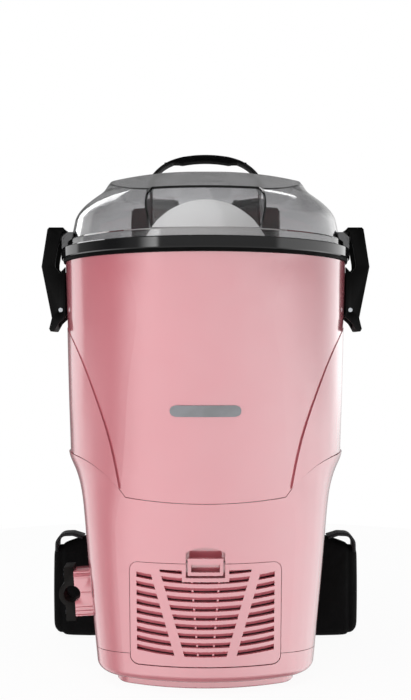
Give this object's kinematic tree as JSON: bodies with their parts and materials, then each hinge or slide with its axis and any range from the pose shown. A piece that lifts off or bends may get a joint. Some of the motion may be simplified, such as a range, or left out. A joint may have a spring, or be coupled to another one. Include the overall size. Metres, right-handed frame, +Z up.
{
  "type": "backpack vacuum cleaner",
  "caption": "Backpack canister vacuum with a latched clear lid over a dust bag, louvred exhaust grille, upright motor and a padded harness with carry handle.",
  "frame": {"origin": "under the base foot, on the axis of the lid ring", "axes": "+Z upwards, -Y towards the grille at the front, +X to the right of someone who faces the grille"},
  "size_m": [0.3252, 0.3637, 0.5185],
  "materials": {
    "pink_plastic": "glossy moulded plastic",
    "black_gloss": "high gloss moulded plastic",
    "black_plastic": "satin moulded plastic",
    "clear_plastic": "clear smoked, polished",
    "seal_rubber": "soft moulded rubber",
    "steel": "zinc plated",
    "bag_fabric": "white filter cloth",
    "grey_plastic": "moulded",
    "motor_metal": "pressed",
    "motor_iron": "laminated iron with windings",
    "board": "circuit board",
    "filter_foam": "open foam",
    "switch_red": "glossy rocker",
    "pad_fabric": "woven nylon over foam",
    "webbing": "ribbed nylon webbing"
  },
  "bodies": {
    "casing": {"back_pad": "pad_fabric", "bag_collar": "grey_plastic", "base_cover": "pink_plastic", "base_foot": "pink_plastic", "base_screw_1": "steel", "base_screw_2": "steel", "base_screw_3": "steel", "base_screw_4": "steel", "bearing_lower": "steel", "bearing_upper": "steel", "belt_buckle_plug": "black_plastic", "belt_buckle_socket": "black_plastic", "belt_webbing_left": "webbing", "belt_webbing_right": "webbing", "belt_wing_left": "pad_fabric", "belt_wing_right": "pad_fabric", "carry_handle_sleeve": "pad_fabric", "carry_handle_webbing": "webbing", "control_board": "board", "cord_bracket": "pink_plastic", "cord_clamp": "black_plastic", "cord_clamp_screw_lower": "steel", "cord_clamp_screw_upper": "steel", "dust_bag": "bag_fabric", "frame_screw_1": "steel", "frame_screw_2": "steel", "frame_screw_3": "steel", "frame_screw_4": "steel", "harness_frame": "black_plastic", "ladder_lock_left": "black_plastic", "ladder_lock_right": "black_plastic", "latch_bracket_left": "black_plastic", "latch_bracket_right": "black_plastic", "latch_pin_left": "steel", "latch_pin_right": "steel", "lower_casing": "pink_plastic", "lower_webbing_left": "webbing", "lower_webbing_right": "webbing", "motor_can": "motor_metal", "motor_deck": "grey_plastic", "motor_mount_lower": "seal_rubber", "motor_mount_upper": "seal_rubber", "motor_stator": "motor_iron", "shoulder_strap_left": "pad_fabric", "shoulder_strap_right": "pad_fabric", "side_loop_left": "webbing", "side_loop_right": "webbing", "switch_bezel": "black_plastic", "tank_shell": "pink_plastic"},
    "lid": {"lid_dome": "clear_plastic", "lid_ring": "black_gloss", "lid_seal": "seal_rubber", "hose_inlet": "black_plastic"},
    "latch_left": {"latch_left": "black_plastic"},
    "latch_right": {"latch_right": "black_plastic"},
    "grille": {"grille_cover": "pink_plastic", "exhaust_filter": "filter_foam"},
    "snap_tab": {"grille_latch": "pink_plastic"},
    "rotor": {"rotor": "motor_iron"},
    "rocker": {"switch_rocker": "switch_red"}
  },
  "joints": [
    {"name": "lid_lift", "type": "slide", "parent": "casing", "child": "lid", "axis": [0, 0, 1], "range_m": [0, 0.03]},
    {"name": "latch_left_swing", "type": "hinge", "parent": "casing", "child": "latch_left", "pos_m": [-0.1366, 0, 0.3417], "axis": [0, -1, 0], "range_deg": [0, 28]},
    {"name": "latch_right_swing", "type": "hinge", "parent": "casing", "child": "latch_right", "pos_m": [0.1366, 0, 0.3417], "axis": [0, 1, 0], "range_deg": [0, 28]},
    {"name": "grille_tilt", "type": "hinge", "parent": "casing", "child": "grille", "pos_m": [0, -0.079, 0.0275], "axis": [1, 0, 0], "range_deg": [0, 60]},
    {"name": "tab_flex", "type": "hinge", "parent": "grille", "child": "snap_tab", "pos_m": [0, -0.0895, 0.1101], "axis": [1, 0, 0], "range_deg": [0, 8], "stiffness_Nm_per_rad": 0.08},
    {"name": "rotor_spin", "type": "hinge", "parent": "casing", "child": "rotor", "pos_m": [0, 0.008, 0.12], "axis": [0, 0, 1], "continuous": true},
    {"name": "switch_rock", "type": "hinge", "parent": "casing", "child": "rocker", "pos_m": [0.1049, 0.046, 0.0962], "axis": [0, 1, 0], "range_deg": [-6, 6]}
  ],
  "couplings": [
    {"joint": "latch_left_swing", "follows": "lid_lift", "rad_per_m": 16.2},
    {"joint": "latch_right_swing", "follows": "lid_lift", "rad_per_m": 16.2}
  ]
}
